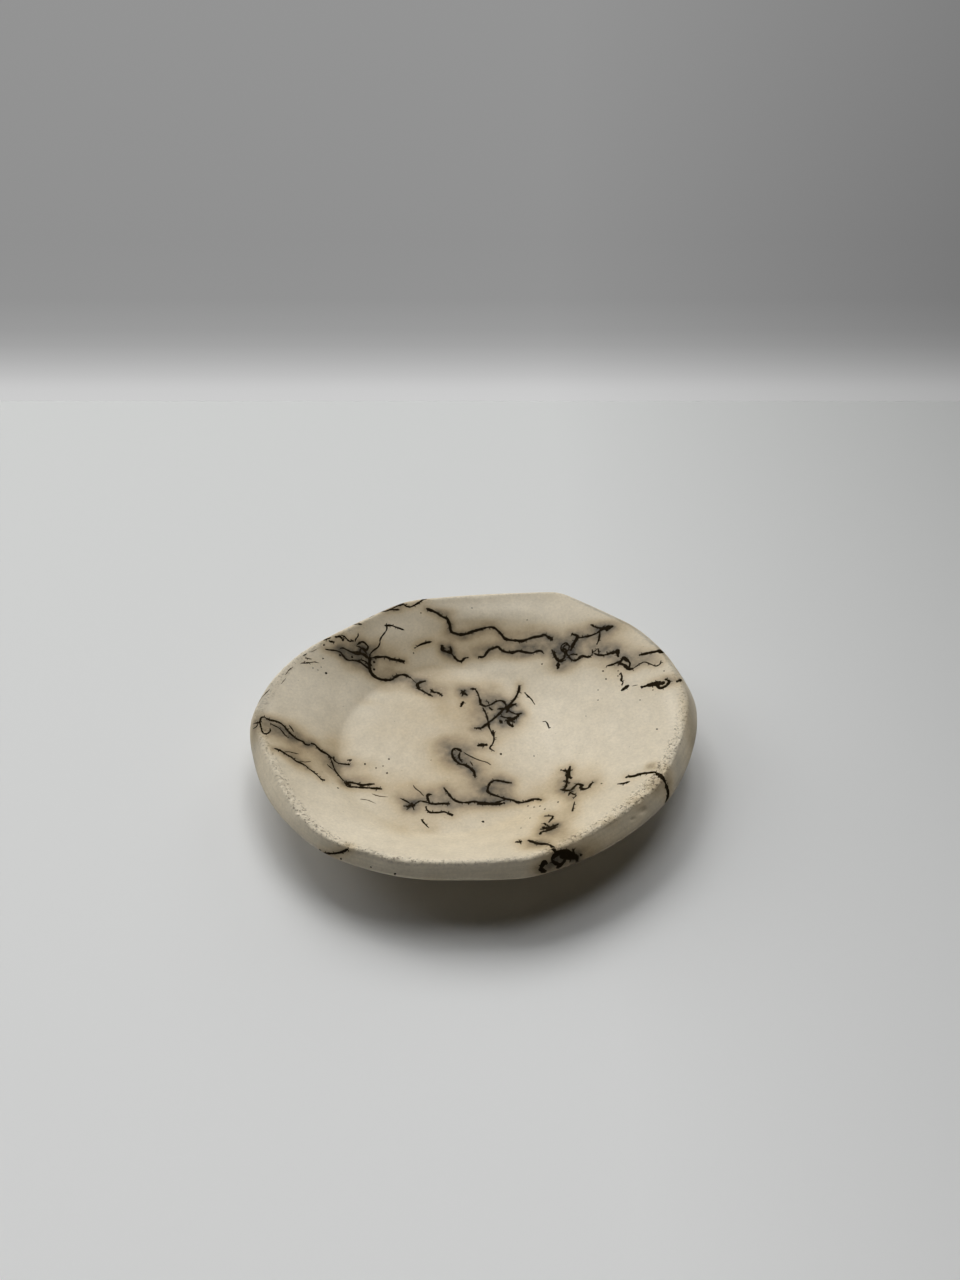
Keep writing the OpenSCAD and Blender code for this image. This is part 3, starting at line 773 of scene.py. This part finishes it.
class Marks:
    """Thin charred lines and specks that lie in the clay, gathered for one mesh."""

    def __init__(self, tree, dice):
        self.tree = tree
        self.dice = dice
        self.points = []
        self.faces = []
        self.core = []
        self.ink = []
        self.smoke = []

    def add_point(self, place, height, core, ink):
        near, normal, _, _ = self.tree.find_nearest(place)
        self.points.append(near + normal * height)
        self.core.append(core)
        self.ink.append(ink)
        return len(self.points) - 1

    def add_line(self, path, width, ink, smoke):
        """path is a list of places and normals on the clay."""
        run = runs([place for place, _ in path])
        length = run[-1]
        last = len(path) - 1
        rows = []
        for k, (place, normal) in enumerate(path):
            ahead = (path[min(k + 1, last)][0] - path[max(k - 1, 0)][0]).normalized()
            across = normal.cross(ahead).normalized()
            end = min(run[k], length - run[k]) / min(TAPER, TAPER_SHARE * length + NO_LENGTH)
            taper = TIP_WIDTH + (1 - TIP_WIDTH) * min(1, end) ** TAPER_POWER
            swell = 1 + WIDTH_WAVE * lumps(place, WIDTH_WAVE_SIZE, "width")
            swell += FINE_WAVE * lumps(place, FINE_WAVE_SIZE, "fine width")
            half = WIDTH_SCALE * width * MM / 2 * taper * max(LEAST_WIDTH, swell)
            shade = ink * (1 + INK_WAVE * lumps(place, INK_WAVE_SIZE, "ink"))
            rows.append([
                self.add_point(place + across * half * share, height, core, shade)
                for share, height, core in ACROSS
            ])
        for a, b in zip(rows, rows[1:]):
            for k in range(len(ACROSS) - 1):
                self.faces.append((a[k + 1], a[k], b[k], b[k + 1]))
        if ink > KNOT_INK:
            for place, normal in (path[0], path[-1]):
                if self.dice.random() < KNOT_SHARE:
                    radius = KNOT_WIDTH * width / 2 * self.dice.uniform(*KNOT_SPREAD)
                    self.add_speck(place, normal, radius, ink)
            self.add_barbs(path, width)
        if smoke > 0:
            self.smoke.append((np.array([place for place, _ in path]), smoke))

    def add_barbs(self, path, width):
        run = runs([place for place, _ in path])
        after = self.dice.uniform(0, BARB_GAP)
        for k in range(1, len(path) - 1):
            if run[k] < after:
                continue
            after = run[k] + BARB_GAP * self.dice.uniform(*BARB_SPREAD)
            place, normal = path[k]
            ahead = (path[k + 1][0] - path[k - 1][0]).normalized()
            out = normal.cross(ahead) * self.dice.choice((-1, 1))
            out += ahead * self.dice.uniform(-BARB_LEAN, BARB_LEAN)
            length = (self.dice.uniform(*BARB_LENGTHS) + WIDTH_SCALE * width / 2) * MM
            tip = place + out.normalized() * length
            barb = [(place, normal), ((place + tip) / 2, normal), (tip, normal)]
            self.add_line(barb, BARB_WIDTH, BARB_INK, 0)

    def add_speck(self, place, normal, radius, ink):
        side = normal.orthogonal().normalized()
        other = normal.cross(side)
        rings = []
        for share, height, core in ACROSS[2:]:
            ring = []
            for k in range(SPECK_SIDES if share else 1):
                # Each side takes its noise from a place of its own, far off.
                wave = SPECK_WAVE * lumps(place + side * k, SPECK_WAVE_SIZE, "speck")
                a = 2 * math.pi * k / SPECK_SIDES
                out = (side * math.cos(a) + other * math.sin(a)) * share * radius * MM * (1 + wave)
                ring.append(self.add_point(place + out, height, core, ink))
            rings.append(ring)
        middle, inner, outer = rings
        for k in range(SPECK_SIDES):
            after = (k + 1) % SPECK_SIDES
            self.faces.append((middle[0], inner[k], inner[after]))
            self.faces.append((inner[k], outer[k], outer[after], inner[after]))

    def piece(self, name):
        piece = add_mesh(name, self.points, self.faces)
        add_values(piece, "core", self.core)
        add_values(piece, "ink", self.ink)
        return piece


# Strays under the dish and on its lip, which the photograph doesn't show: how many, the compass angles, in
# degrees, and reaches from the well's middle, in millimetres, that they start from, and the numbers of
# their steps. Each step keeps a share of the last one's bend and adds some.
SEED = 23
STRAYS = 12
STRAY_TURNS = (20, 250)
STRAY_REACHES = (41, 66)
STRAY_STEP = 0.5 * MM
STRAY_STEPS = (24, 80)
STRAY_FEWEST = 7
STRAY_HOLD = 0.8
STRAY_BEND = 0.05
STRAY_WIDTHS = (0.35, 0.75)
STRAY_INKS = (0.8, 1)
STRAY_SMOKES = (0.2, 0.9)


def stray_path(tree, dice):
    """A hair that wandered over the underside, or up on to the lip."""
    turn = math.radians(dice.uniform(*STRAY_TURNS))
    reach = dice.uniform(*STRAY_REACHES) * MM
    start = Vector((well_x + reach * math.cos(turn), well_y + reach * math.sin(turn), -FAR))
    place, normal, _, _ = tree.ray_cast(start, UP)
    if place is None:
        return None
    heading = dice.uniform(0, 2 * math.pi)
    bend = 0
    path = []
    for _ in range(dice.randint(*STRAY_STEPS)):
        path.append((place, normal))
        bend = STRAY_HOLD * bend + dice.gauss(0, STRAY_BEND)
        heading += bend
        side = normal.orthogonal().normalized()
        ahead = side * math.cos(heading) + normal.cross(side) * math.sin(heading)
        place, normal, _, _ = tree.find_nearest(place + ahead * STRAY_STEP)
        if place.z < base_height + BASE_ROOM:
            break
    return path if len(path) >= STRAY_FEWEST else None


def mark_clay(tree):
    dice = random.Random(SEED)
    marks = Marks(tree, dice)
    for width, ink, smoke, *pixels in HAIRS:
        marks.add_line(hair_path(tree, pixels), width, ink, smoke)
    for px, py, radius in SPECKS:
        marks.add_speck(*drape(tree, px, py), SPECK_SCALE * radius, 1)
    for _ in range(STRAYS):
        path = stray_path(tree, dice)
        if path:
            looks = [dice.uniform(*span) for span in (STRAY_WIDTHS, STRAY_INKS, STRAY_SMOKES)]
            marks.add_line(path, *looks)
    return marks


# Smoke in the clay

# The smoke beside a line: its share at the line, its reach, how it fades, and where it ends, in reaches.
LINE_SMOKE = 0.5
LINE_REACH = 1.5 * MM
LINE_FADE = 1.4
LINE_END = 2.5
# A cloud's reach on the clay for each pixel of its table, its height as a share of its depth, and the least
# slope to the camera that counts.
PIXEL_ON_CLAY = 0.34 * MM
CLOUD_HEIGHT = 0.6
LEAST_SLOPE = 0.35


def soak(total, share):
    """Lays a share over what is there, point by point."""
    return 1 - (1 - total) * (1 - share)


def cloud(co, tree, px, py, across, along):
    """How much of a round cloud lies at each of the points, as shares: 1 where the pixel is seen."""
    middle, normal = drape(tree, px, py)
    # A pixel covers more of the clay where the clay slopes away from the camera.
    depth = along * PIXEL_ON_CLAY / max(LEAST_SLOPE, abs(normal.dot(sight(px, py))))
    reach = np.array((across * PIXEL_ON_CLAY, depth, CLOUD_HEIGHT * depth))
    return np.exp(-(((co - np.array(middle)) / reach) ** 2).sum(axis=1))


def stain_skin(skin, tree, marks):
    """Gives each point of the skin the smoke with some painted shade, the warmth, the chalk with painted
    light and the dullness with painted shade that lie there.
    """
    co = np.array([v.co for v in skin.piece.data.vertices])
    smoke = np.zeros(len(co))
    for path, strength in marks.smoke:
        reach = LINE_REACH * LINE_END
        near = np.all((co > path.min(0) - reach) & (co < path.max(0) + reach), axis=1).nonzero()[0]
        if len(near) == 0:
            continue
        gaps = np.linalg.norm(co[near][:, None] - path[None], axis=2).min(axis=1)
        smoke[near] = soak(smoke[near], LINE_SMOKE * strength * np.exp(-(gaps / LINE_REACH) ** LINE_FADE))
    clear = np.zeros(len(co))
    for name, total, patches in (
        ("smoke", smoke, SMOKE_AND_SHADE_CLOUDS), ("warm", clear, WARM_PATCHES), ("chalk_and_light", clear, CHALK_AND_LIGHT_PATCHES),
        ("dull_and_shade", clear, DULL_AND_SHADE_PATCHES),
    ):
        for *spot, share in patches:
            total = soak(total, share * cloud(co, tree, *spot))
        add_values(skin.piece, name, total)


# Materials

IVORY = (0.670, 0.590, 0.445)
WARM_IVORY = (0.600, 0.495, 0.330)
# Pale clay for grains, flecks and chalky patches, also laid as painted light on the walls and the cut face.
PALE_CLAY_AND_LIGHT = (0.790, 0.705, 0.550)
# Painted shade in the pits.
PIT_SHADE = (0.140, 0.110, 0.075)
# Grey for the darkening along the crest and for painted shade on the cut face.
DARKENING_AND_SHADE_GREY = (0.300, 0.280, 0.235)
# The underside wasn't burnished and is browner, and it is darker as painted shade, which deepens the shadow
# under the dish.
UNDER_SHADE = (0.460, 0.375, 0.255)
# Smoke darkens the clay and turns it brown: what is left of its colour at shares of smoke.
SMOKED = [
    (0, (1, 1, 1)), (0.12, (0.88, 0.835, 0.755)), (0.3, (0.66, 0.60, 0.51)), (0.5, (0.41, 0.373, 0.31)),
    (0.75, (0.16, 0.148, 0.122)), (1, (0.05, 0.042, 0.032)),
]
# Carbon is brown where it is thin.
CARBON = [
    (0.2, (0.22, 0.165, 0.10)), (0.4, (0.085, 0.060, 0.032)), (0.6, (0.028, 0.018, 0.007)),
    (0.9, (0.014, 0.009, 0.003)),
]
BARE_DARK = (0.52, 0.44, 0.32)
BARE_PALE = (0.62, 0.54, 0.42)
SAND = (0.32, 0.25, 0.17)

# Sizes in the burnished clay: lumps of its drifts, mottle and grain, streaks round the rim, and pits.
DRIFT_SIZE = 18 * MM
MOTTLE_SIZE = 5 * MM
GRAIN_SIZE = 0.9 * MM
SHEEN_SIZE = 9 * MM
STREAK_LENGTH = 11 * MM
STREAK_WIDTH = 0.7 * MM
PIT_GAP = 2.2 * MM
PIT_REACH = 0.30 * MM
# Streaks round the rim are measured at this distance from the middle.
STREAK_RADIUS = 70 * MM
# Depths of its bumps.
GRAIN_DEPTH = 0.03 * MM
STREAK_DEPTH = 0.05 * MM
CRUMB_DEPTH = 0.45 * MM
PIT_DEPTH = 0.08 * MM


class Nodes:
    """Short calls to build a node material."""

    def __init__(self, name):
        self.material = bpy.data.materials.new(name)
        self.material.use_nodes = True
        self.tree = self.material.node_tree
        self.shader = self.tree.nodes["Principled BSDF"]
        self.where = self.add("ShaderNodeTexCoord").outputs["Object"]

    def add(self, kind, **settings):
        node = self.tree.nodes.new(kind)
        for key, value in settings.items():
            setattr(node, key, value)
        return node

    def link(self, source, target):
        self.tree.links.new(source, target)

    def put(self, **inputs):
        """Sets the shader's inputs, named with _ for spaces, to sockets or numbers."""
        for name, value in inputs.items():
            self.feed(value, self.shader.inputs[name.replace("_", " ")])

    def feed(self, value, socket):
        """Gives a socket another socket's value, or a colour of three numbers, or a number."""
        if isinstance(value, bpy.types.NodeSocket):
            self.link(value, socket)
        elif isinstance(value, tuple):
            socket.default_value = (*value, 1)
        else:
            socket.default_value = value

    def noise(self, size, detail=3.0, roughness=0.5, where=None):
        """Noise from 0 to 1 with lumps of about a size in metres."""
        node = self.add("ShaderNodeTexNoise")
        node.inputs["Scale"].default_value = 1 / size
        node.inputs["Detail"].default_value = detail
        node.inputs["Roughness"].default_value = roughness
        self.link(where or self.where, node.inputs["Vector"])
        return node.outputs["Fac"]

    def axis(self, name):
        place = self.add("ShaderNodeSeparateXYZ")
        self.link(self.where, place.inputs[0])
        return place.outputs[name]

    def streaks(self):
        """Noise from 0 to 1 in streaks that run round the rim."""
        angle = self.math("ARCTAN2", self.axis("Y"), self.axis("X"))
        joined = self.add("ShaderNodeCombineXYZ")
        self.link(self.times(angle, STREAK_RADIUS / STREAK_LENGTH), joined.inputs["X"])
        self.link(self.times(self.axis("Z"), 1 / STREAK_WIDTH), joined.inputs["Y"])
        return self.noise(1, 4, where=joined.outputs[0])

    def attribute(self, name):
        return self.add("ShaderNodeAttribute", attribute_name=name).outputs["Fac"]

    def ramp(self, source, stops):
        """Maps a share to colours or shares at stops of (place, value)."""
        node = self.add("ShaderNodeValToRGB")
        elements = node.color_ramp.elements
        while len(elements) < len(stops):
            elements.new(0.5)
        for element, (place, value) in zip(elements, stops):
            element.position = place
            element.color = (*value, 1) if isinstance(value, tuple) else (value, value, value, 1)
        self.link(source, node.inputs["Fac"])
        return node.outputs["Color"]

    def mix(self, share, a, b, kind="MIX"):
        """Mixes two colours by a share."""
        node = self.add("ShaderNodeMix", data_type="RGBA", blend_type=kind)
        for value, socket in zip((share, a, b), (node.inputs[0], node.inputs[6], node.inputs[7])):
            self.feed(value, socket)
        return node.outputs[2]

    def toned(self, colour, tone):
        return self.mix(1.0, colour, tone, "MULTIPLY")

    def laid(self, colour, where, most, shade):
        """Lays a shade over a colour, as far as a share says and at most by another."""
        return self.mix(self.times(where, most), colour, shade)

    def math(self, kind, *values):
        node = self.add("ShaderNodeMath", operation=kind)
        for value, socket in zip(values, node.inputs):
            self.feed(value, socket)
        return node.outputs[0]

    def times(self, a, b):
        return self.math("MULTIPLY", a, b)

    def specks(self, size, reach):
        """Round specks, one to a cell: 1 in the middle and 0 past their reach. And the cells' colours."""
        node = self.add("ShaderNodeTexVoronoi")
        node.inputs["Scale"].default_value = 1 / size
        self.link(self.where, node.inputs["Vector"])
        return self.ramp(node.outputs["Distance"], [(0, 1), (reach / size, 0)]), node.outputs["Color"]

    def uneven(self, name, size, amount):
        """An attribute's share, made uneven with noise of a size."""
        wander = self.math("MULTIPLY_ADD", self.noise(size, 4), 2 * amount, 1 - amount)
        return self.times(self.attribute(name), wander)

    def bump(self, height, depth, below=None):
        node = self.add("ShaderNodeBump")
        node.inputs["Strength"].default_value = 1
        node.inputs["Distance"].default_value = depth
        self.link(height, node.inputs["Height"])
        if below is not None:
            self.link(below, node.inputs["Normal"])
        return node.outputs["Normal"]


def burnished_clay():
    """Ivory clay with warm and chalky drifts, smoke, fine pits, a soft uneven sheen and a crumbled edge,
    with painted light and shade in patches, in pits and on the cut face.
    """
    m = Nodes("burnished_clay")
    rough = m.attribute("rough")
    face = m.attribute("face")
    streaks = m.streaks()
    pit, cell = m.specks(PIT_GAP, PIT_REACH)
    pits = m.times(pit, m.ramp(cell, [(0.74, 0), (0.76, 1)]))
    flecks = m.times(pit, m.ramp(cell, [(0.20, 1), (0.22, 0)]))

    drift = m.ramp(m.noise(DRIFT_SIZE), [(0.35, 0), (0.65, 0.5)])
    colour = m.mix(m.uneven("warm", 7 * MM, 0.5), IVORY, WARM_IVORY)
    colour = m.laid(colour, drift, 0.35, WARM_IVORY)
    # Chalky patches: paler clay, and painted light on the far and left walls and on the cut face.
    colour = m.mix(m.uneven("chalk_and_light", 4 * MM, 0.5), colour, PALE_CLAY_AND_LIGHT)
    colour = m.toned(colour, m.ramp(m.noise(MOTTLE_SIZE, 4, 0.6), [(0.3, 0.93), (0.7, 1.05)]))
    colour = m.toned(colour, m.ramp(m.noise(GRAIN_SIZE, 4, 0.65), [(0.3, 0.91), (0.7, 1.07)]))
    # The crumbled edge is a mix of pale grains and pits darkened with painted shade.
    grains = m.ramp(m.noise(CRUMB_SIZE, 3, 0.6), [(0.47, 0), (0.56, 1)])
    colour = m.laid(colour, rough, grains, PALE_CLAY_AND_LIGHT)
    pitted = m.ramp(m.noise(GRAIN_SIZE, 3, 0.65), [(0.40, 1), (0.45, 0)])
    colour = m.laid(colour, m.times(rough, pitted), 0.8, PIT_SHADE)
    # The knife drew streaks along the cut face.
    drawn = m.ramp(streaks, [(0.30, 0.90), (0.5, 1.0), (0.7, 1.04)])
    colour = m.laid(colour, face, 0.9, m.toned(colour, drawn))
    # Darkening along the crest, and painted shade along the cut face's lower edge.
    colour = m.laid(colour, m.uneven("darkening_and_shade", 2.5 * MM, 0.7), 0.75, DARKENING_AND_SHADE_GREY)
    # Painted shade on the cut face at its ends and lower edge, and duller crumbled clay.
    colour = m.laid(colour, m.uneven("dull_and_shade", 4 * MM, 0.4), 0.75, DARKENING_AND_SHADE_GREY)
    # The underside: browner clay, and painted shade.
    colour = m.laid(colour, m.uneven("under", 7 * MM, 0.15), 0.65, UNDER_SHADE)
    # The smoke share also holds a few clouds of painted shade.
    colour = m.toned(colour, m.ramp(m.uneven("smoke", 2.5 * MM, 0.6), SMOKED))
    # Painted shade in the pits.
    colour = m.laid(colour, pits, 0.5, PIT_SHADE)
    colour = m.laid(colour, flecks, 0.4, PALE_CLAY_AND_LIGHT)

    bumps = m.bump(m.noise(0.5 * MM, 5, 0.6), GRAIN_DEPTH)
    bumps = m.bump(m.times(streaks, face), STREAK_DEPTH, bumps)
    bumps = m.bump(m.times(m.noise(0.8 * MM, 5, 0.7), rough), CRUMB_DEPTH, bumps)
    bumps = m.bump(m.math("SUBTRACT", 1.0, pits), PIT_DEPTH, bumps)
    sheen = m.ramp(m.noise(SHEEN_SIZE), [(0.3, 0.46), (0.7, 0.58)])
    m.put(Base_Color=colour, Roughness=m.mix(rough, sheen, (0.85, 0.85, 0.85)), Normal=bumps)
    m.put(Specular_IOR_Level=0.3)
    return m.material


def carbon():
    """Matt carbon, brown where it is thin."""
    m = Nodes("carbon")
    thick = m.times(m.attribute("ink"), m.math("MULTIPLY_ADD", m.attribute("core"), 0.55, 0.55))
    patchy = m.times(thick, m.math("MULTIPLY_ADD", m.noise(0.6 * MM), 0.5, 0.75))
    m.put(Base_Color=m.ramp(patchy, CARBON), Normal=m.bump(m.noise(0.3 * MM), 0.02 * MM))
    m.put(Roughness=0.9, Specular_IOR_Level=0.05)
    return m.material


def bare_clay():
    """Unpolished, sandy clay."""
    m = Nodes("bare_clay")
    sand, cell = m.specks(1.0 * MM, 0.25 * MM)
    grains = m.times(sand, m.ramp(cell, [(0.6, 0), (0.62, 1)]))
    colour = m.laid(m.mix(m.noise(9 * MM), BARE_DARK, BARE_PALE), grains, 0.6, SAND)
    sheen = m.ramp(m.noise(3 * MM, 2), [(0.3, 0.78), (0.7, 0.9)])
    m.put(Base_Color=colour, Roughness=sheen, Normal=m.bump(m.noise(0.35 * MM, 5, 0.7), 0.06 * MM))
    return m.material


# Stage

TABLE_HALF = 3.0
# The far lamps light the table's back and left more than its front and right. Its colour holds painted
# shade, darker towards the back, which evens out the lamps there, and darker towards the right: the shade at
# the front and back, and the share of it that is left at the right, between places in metres.
NEAR_SHADE = (0.86, 0.865, 0.86)
FAR_SHADE = (0.68, 0.69, 0.68)
NEAR_AT = -0.18
FAR_AT = 0.25
LEFT_AT = 0.04
RIGHT_AT = 0.30
RIGHT_SHARE = 0.62
WHITE = (1.0, 1.0, 1.0)
# The backdrop leaves the table here and rises in a quarter round. Its glow is painted light and shade, which
# goes by height, as a share of a height that the photograph's frame just holds.
BACKDROP_AT = 0.25
SWEEP = 0.06
SWEEP_STEPS = 24
BACKDROP_TOP = 1.2
FRAME_HEIGHT = 0.25
BACKDROP_SHADES = [
    (0, 0.605), (0.005, 0.59), (0.017, 0.51), (0.034, 0.434), (0.055, 0.367), (0.08, 0.325), (0.136, 0.288),
    (0.26, 0.28), (0.5, 0.287), (1, 0.305),
]
# Lamps: the direction that each stands in, its size in metres and its power.
LAMPS = [
    (Vector((-0.75, 0.43, 0.50)), 1.5, 18.6),
    (Vector((-0.32, 0.56, 0.77)), 1.0, 21.1),
    (Vector((0.00, 0.64, 0.77)), 1.0, 17.5),
    (Vector((0.43, 0.75, 0.50)), 1.0, 5.2),
    (Vector((0.17, 0.30, 0.94)), 1.0, 13.2),
]
LAMP_DISTANCE = 2.6
ROOM_LIGHT = 0.005
ROOM_SHADE = (0.56, 0.56, 0.55)


def add_sheet(name, points, faces, material):
    sheet = add_mesh(name, points, faces)
    sheet.data.materials.append(material)
    return sheet


def across(m, axis, start, end):
    """Goes from 0 at one place to 1 at another along an axis."""
    spread = m.add("ShaderNodeMapRange")
    spread.inputs["From Min"].default_value = start
    spread.inputs["From Max"].default_value = end
    m.link(m.axis(axis), spread.inputs["Value"])
    return spread.outputs["Result"]


# Painted shade: darker towards the right.
def dimmed_right(m, colour):
    share = (RIGHT_SHARE, RIGHT_SHARE, RIGHT_SHARE)
    return m.toned(colour, m.mix(across(m, "X", LEFT_AT, RIGHT_AT), WHITE, share))


def make_table():
    m = Nodes("table")
    shade = m.mix(across(m, "Y", NEAR_AT, FAR_AT), NEAR_SHADE, FAR_SHADE)
    m.put(Base_Color=dimmed_right(m, shade), Roughness=0.9, Specular_IOR_Level=0.05)
    corners = [(x * TABLE_HALF, y * TABLE_HALF, 0) for x, y in ((-1, -1), (1, -1), (1, 1), (-1, 1))]
    add_sheet("table", corners, [(0, 1, 2, 3)], m.material)


def make_backdrop():
    """A backdrop that curves up from the table. It shows behind the dish, but gives and takes no light. Its
    glow is painted light and shade, darker up the wall and towards the right.
    """
    m = Nodes("backdrop")
    glow = m.add("ShaderNodeEmission")
    shade = m.ramp(across(m, "Z", 0, FRAME_HEIGHT), BACKDROP_SHADES)
    m.link(dimmed_right(m, shade), glow.inputs["Color"])
    m.link(glow.outputs[0], m.tree.nodes["Material Output"].inputs["Surface"])
    profile = []
    for k in range(SWEEP_STEPS + 1):
        a = math.pi / 2 * k / SWEEP_STEPS
        profile.append((BACKDROP_AT + SWEEP * math.sin(a), SWEEP * (1 - math.cos(a))))
    profile.append((BACKDROP_AT + SWEEP, BACKDROP_TOP))
    points = [(x, y, z) for x in (-TABLE_HALF, TABLE_HALF) for y, z in profile]
    n = len(profile)
    faces = [(k, n + k, n + k + 1, k + 1) for k in range(n - 1)]
    backdrop = add_sheet("backdrop", points, faces, m.material)
    backdrop.visible_diffuse = False
    backdrop.visible_shadow = False


def make_lights():
    for towards, size, power in LAMPS:
        data = bpy.data.lights.new("lamp", "AREA")
        data.shape = "SQUARE"
        data.size = size
        data.energy = power
        lamp = add_object("lamp", data)
        lamp.location = towards.normalized() * LAMP_DISTANCE
        lamp.rotation_euler = towards.to_track_quat("Z", "Y").to_euler()


def make_room():
    """Soft light from all round. The room looks pale past the table and in what shines."""
    world = bpy.data.worlds.new("room")
    bpy.context.scene.world = world
    world.use_nodes = True
    nodes = world.node_tree.nodes
    links = world.node_tree.links
    light = nodes["Background"]
    light.inputs["Color"].default_value = (*WHITE, 1)
    light.inputs["Strength"].default_value = ROOM_LIGHT
    pale = nodes.new("ShaderNodeBackground")
    pale.inputs["Color"].default_value = (*ROOM_SHADE, 1)
    path = nodes.new("ShaderNodeLightPath")
    either = nodes.new("ShaderNodeMixShader")
    shown = path.outputs["Is Camera Ray"]
    for ray in ("Is Glossy Ray", "Is Transmission Ray"):
        larger = nodes.new("ShaderNodeMath")
        larger.operation = "MAXIMUM"
        links.new(shown, larger.inputs[0])
        links.new(path.outputs[ray], larger.inputs[1])
        shown = larger.outputs[0]
    links.new(shown, either.inputs[0])
    links.new(light.outputs[0], either.inputs[1])
    links.new(pale.outputs[0], either.inputs[2])
    links.new(either.outputs[0], nodes["World Output"].inputs["Surface"])


# The scene

make_camera()
clay_tree = refined(body_node)
skin = Skin(clay_tree)
model_relief(skin, clay_tree)
shade_rim(skin)
skin_tree = BVHTree.FromObject(skin.piece, bpy.context.evaluated_depsgraph_get())
marks = mark_clay(skin_tree)
hair_marks = marks.piece("hair_marks")
stain_skin(skin, skin_tree, marks)

skin.piece.data.materials.append(burnished_clay())
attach(skin.piece, "root")
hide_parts("dish_body")

hair_marks.data.materials.append(carbon())
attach(hair_marks, "root")

foot_node.data.materials.clear()
foot_node.data.materials.append(bare_clay())

make_table()
make_backdrop()
make_lights()
make_room()
bpy.context.scene.view_settings.view_transform = "Standard"
